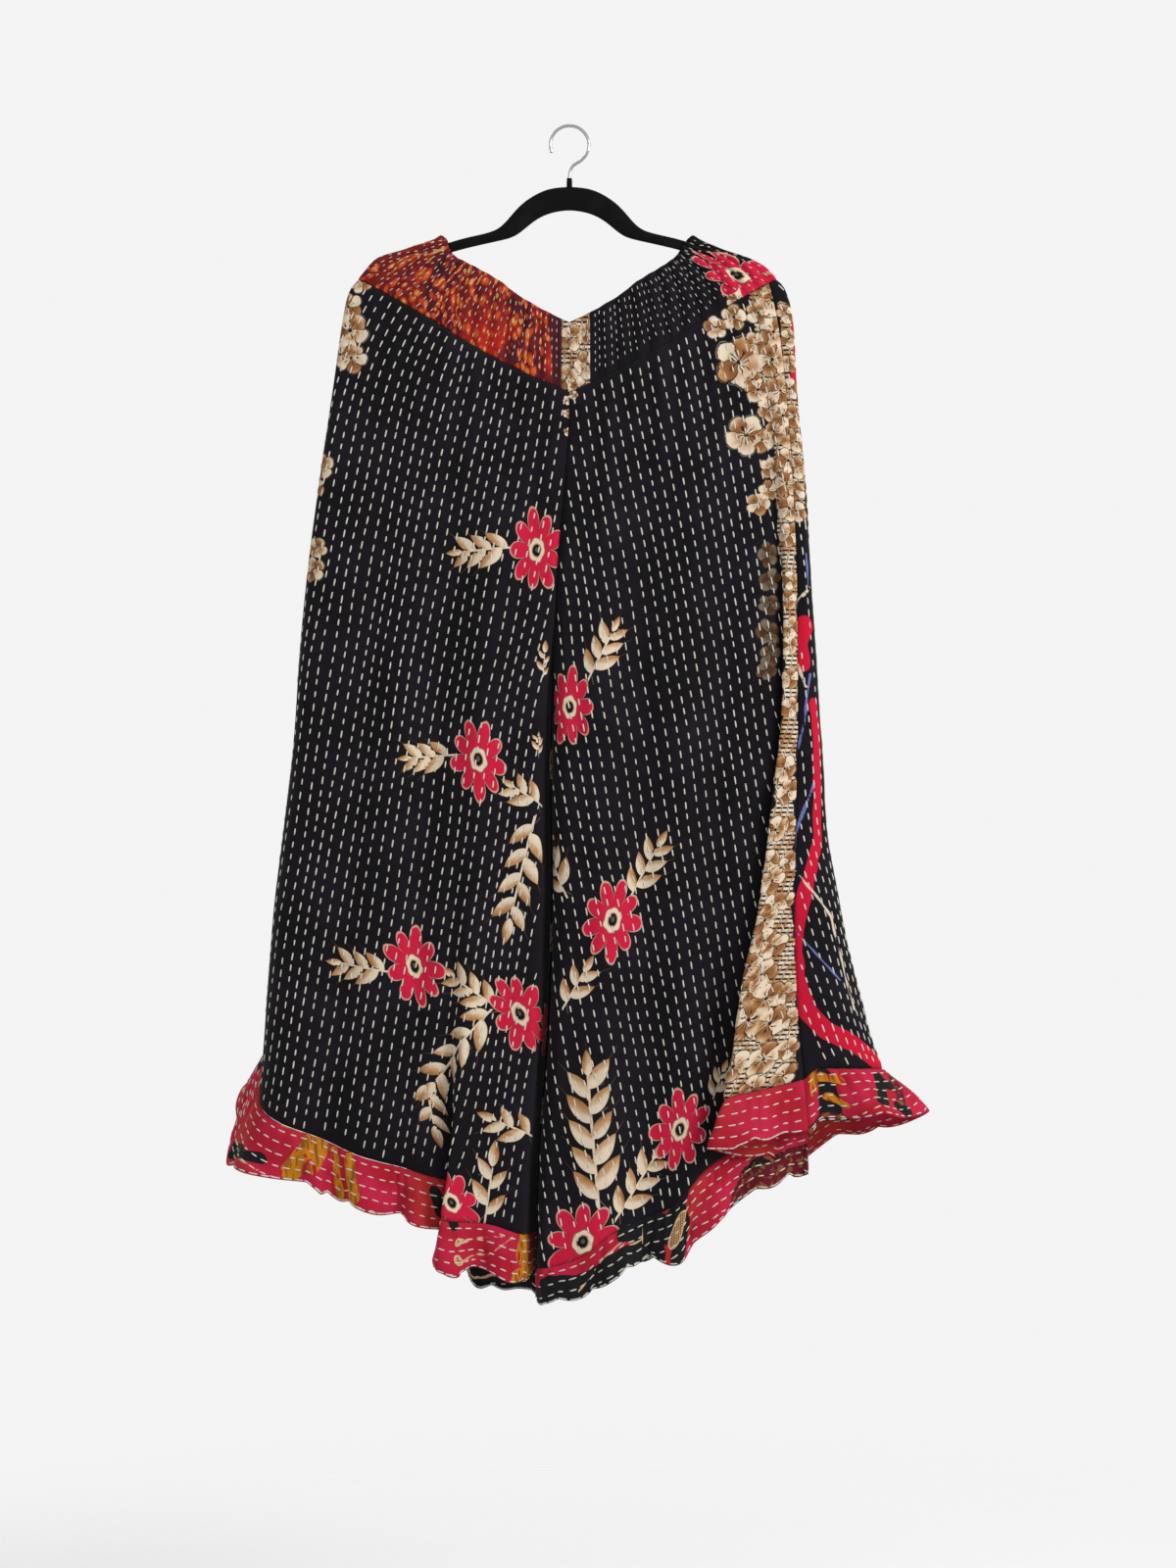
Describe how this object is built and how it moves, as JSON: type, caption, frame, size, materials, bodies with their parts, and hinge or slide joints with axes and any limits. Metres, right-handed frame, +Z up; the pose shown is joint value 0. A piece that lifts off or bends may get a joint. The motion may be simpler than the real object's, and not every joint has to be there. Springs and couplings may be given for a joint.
{
  "type": "ruffle capri trousers on a hanger",
  "caption": "Wide-legged capri trousers with a shirred elastic waistband and ruffled hems, hung over the arms of a flocked hanger with a wire hook.",
  "frame": {"origin": "inner top of the hanger's hook, where it rests on a rail", "axes": "+Z up, -Y towards someone who looks at the front, +X to that viewer's right"},
  "size_m": [0.7266, 0.1427, 1.2232],
  "materials": {
    "black_cotton": "soft quilted cotton, black ground with printed flowers and running stitches",
    "orange_cotton": "shirred cotton with a small orange and red flower print on maroon",
    "border_cotton": "shirred cotton with a cream and brown flower border",
    "crimson_cotton": "quilted cotton pieced from crimson, mustard and black prints",
    "flocked_plastic": "black velvet flock over moulded plastic",
    "chrome_wire": "polished plated steel wire"
  },
  "bodies": {
    "root": {"waistband_front_left": "orange_cotton", "waistband_front_patch": "border_cotton", "waistband_front_right": "black_cotton", "waistband_back": "black_cotton", "leg_left_front": "black_cotton", "leg_left_back": "black_cotton", "leg_right_front": "black_cotton", "leg_right_back": "black_cotton", "ruffle_left_front": "crimson_cotton", "ruffle_left_back": "crimson_cotton", "ruffle_right_front": "crimson_cotton", "ruffle_right_back": "crimson_cotton", "hanger": "flocked_plastic", "hook": "chrome_wire"}
  },
  "joints": []
}
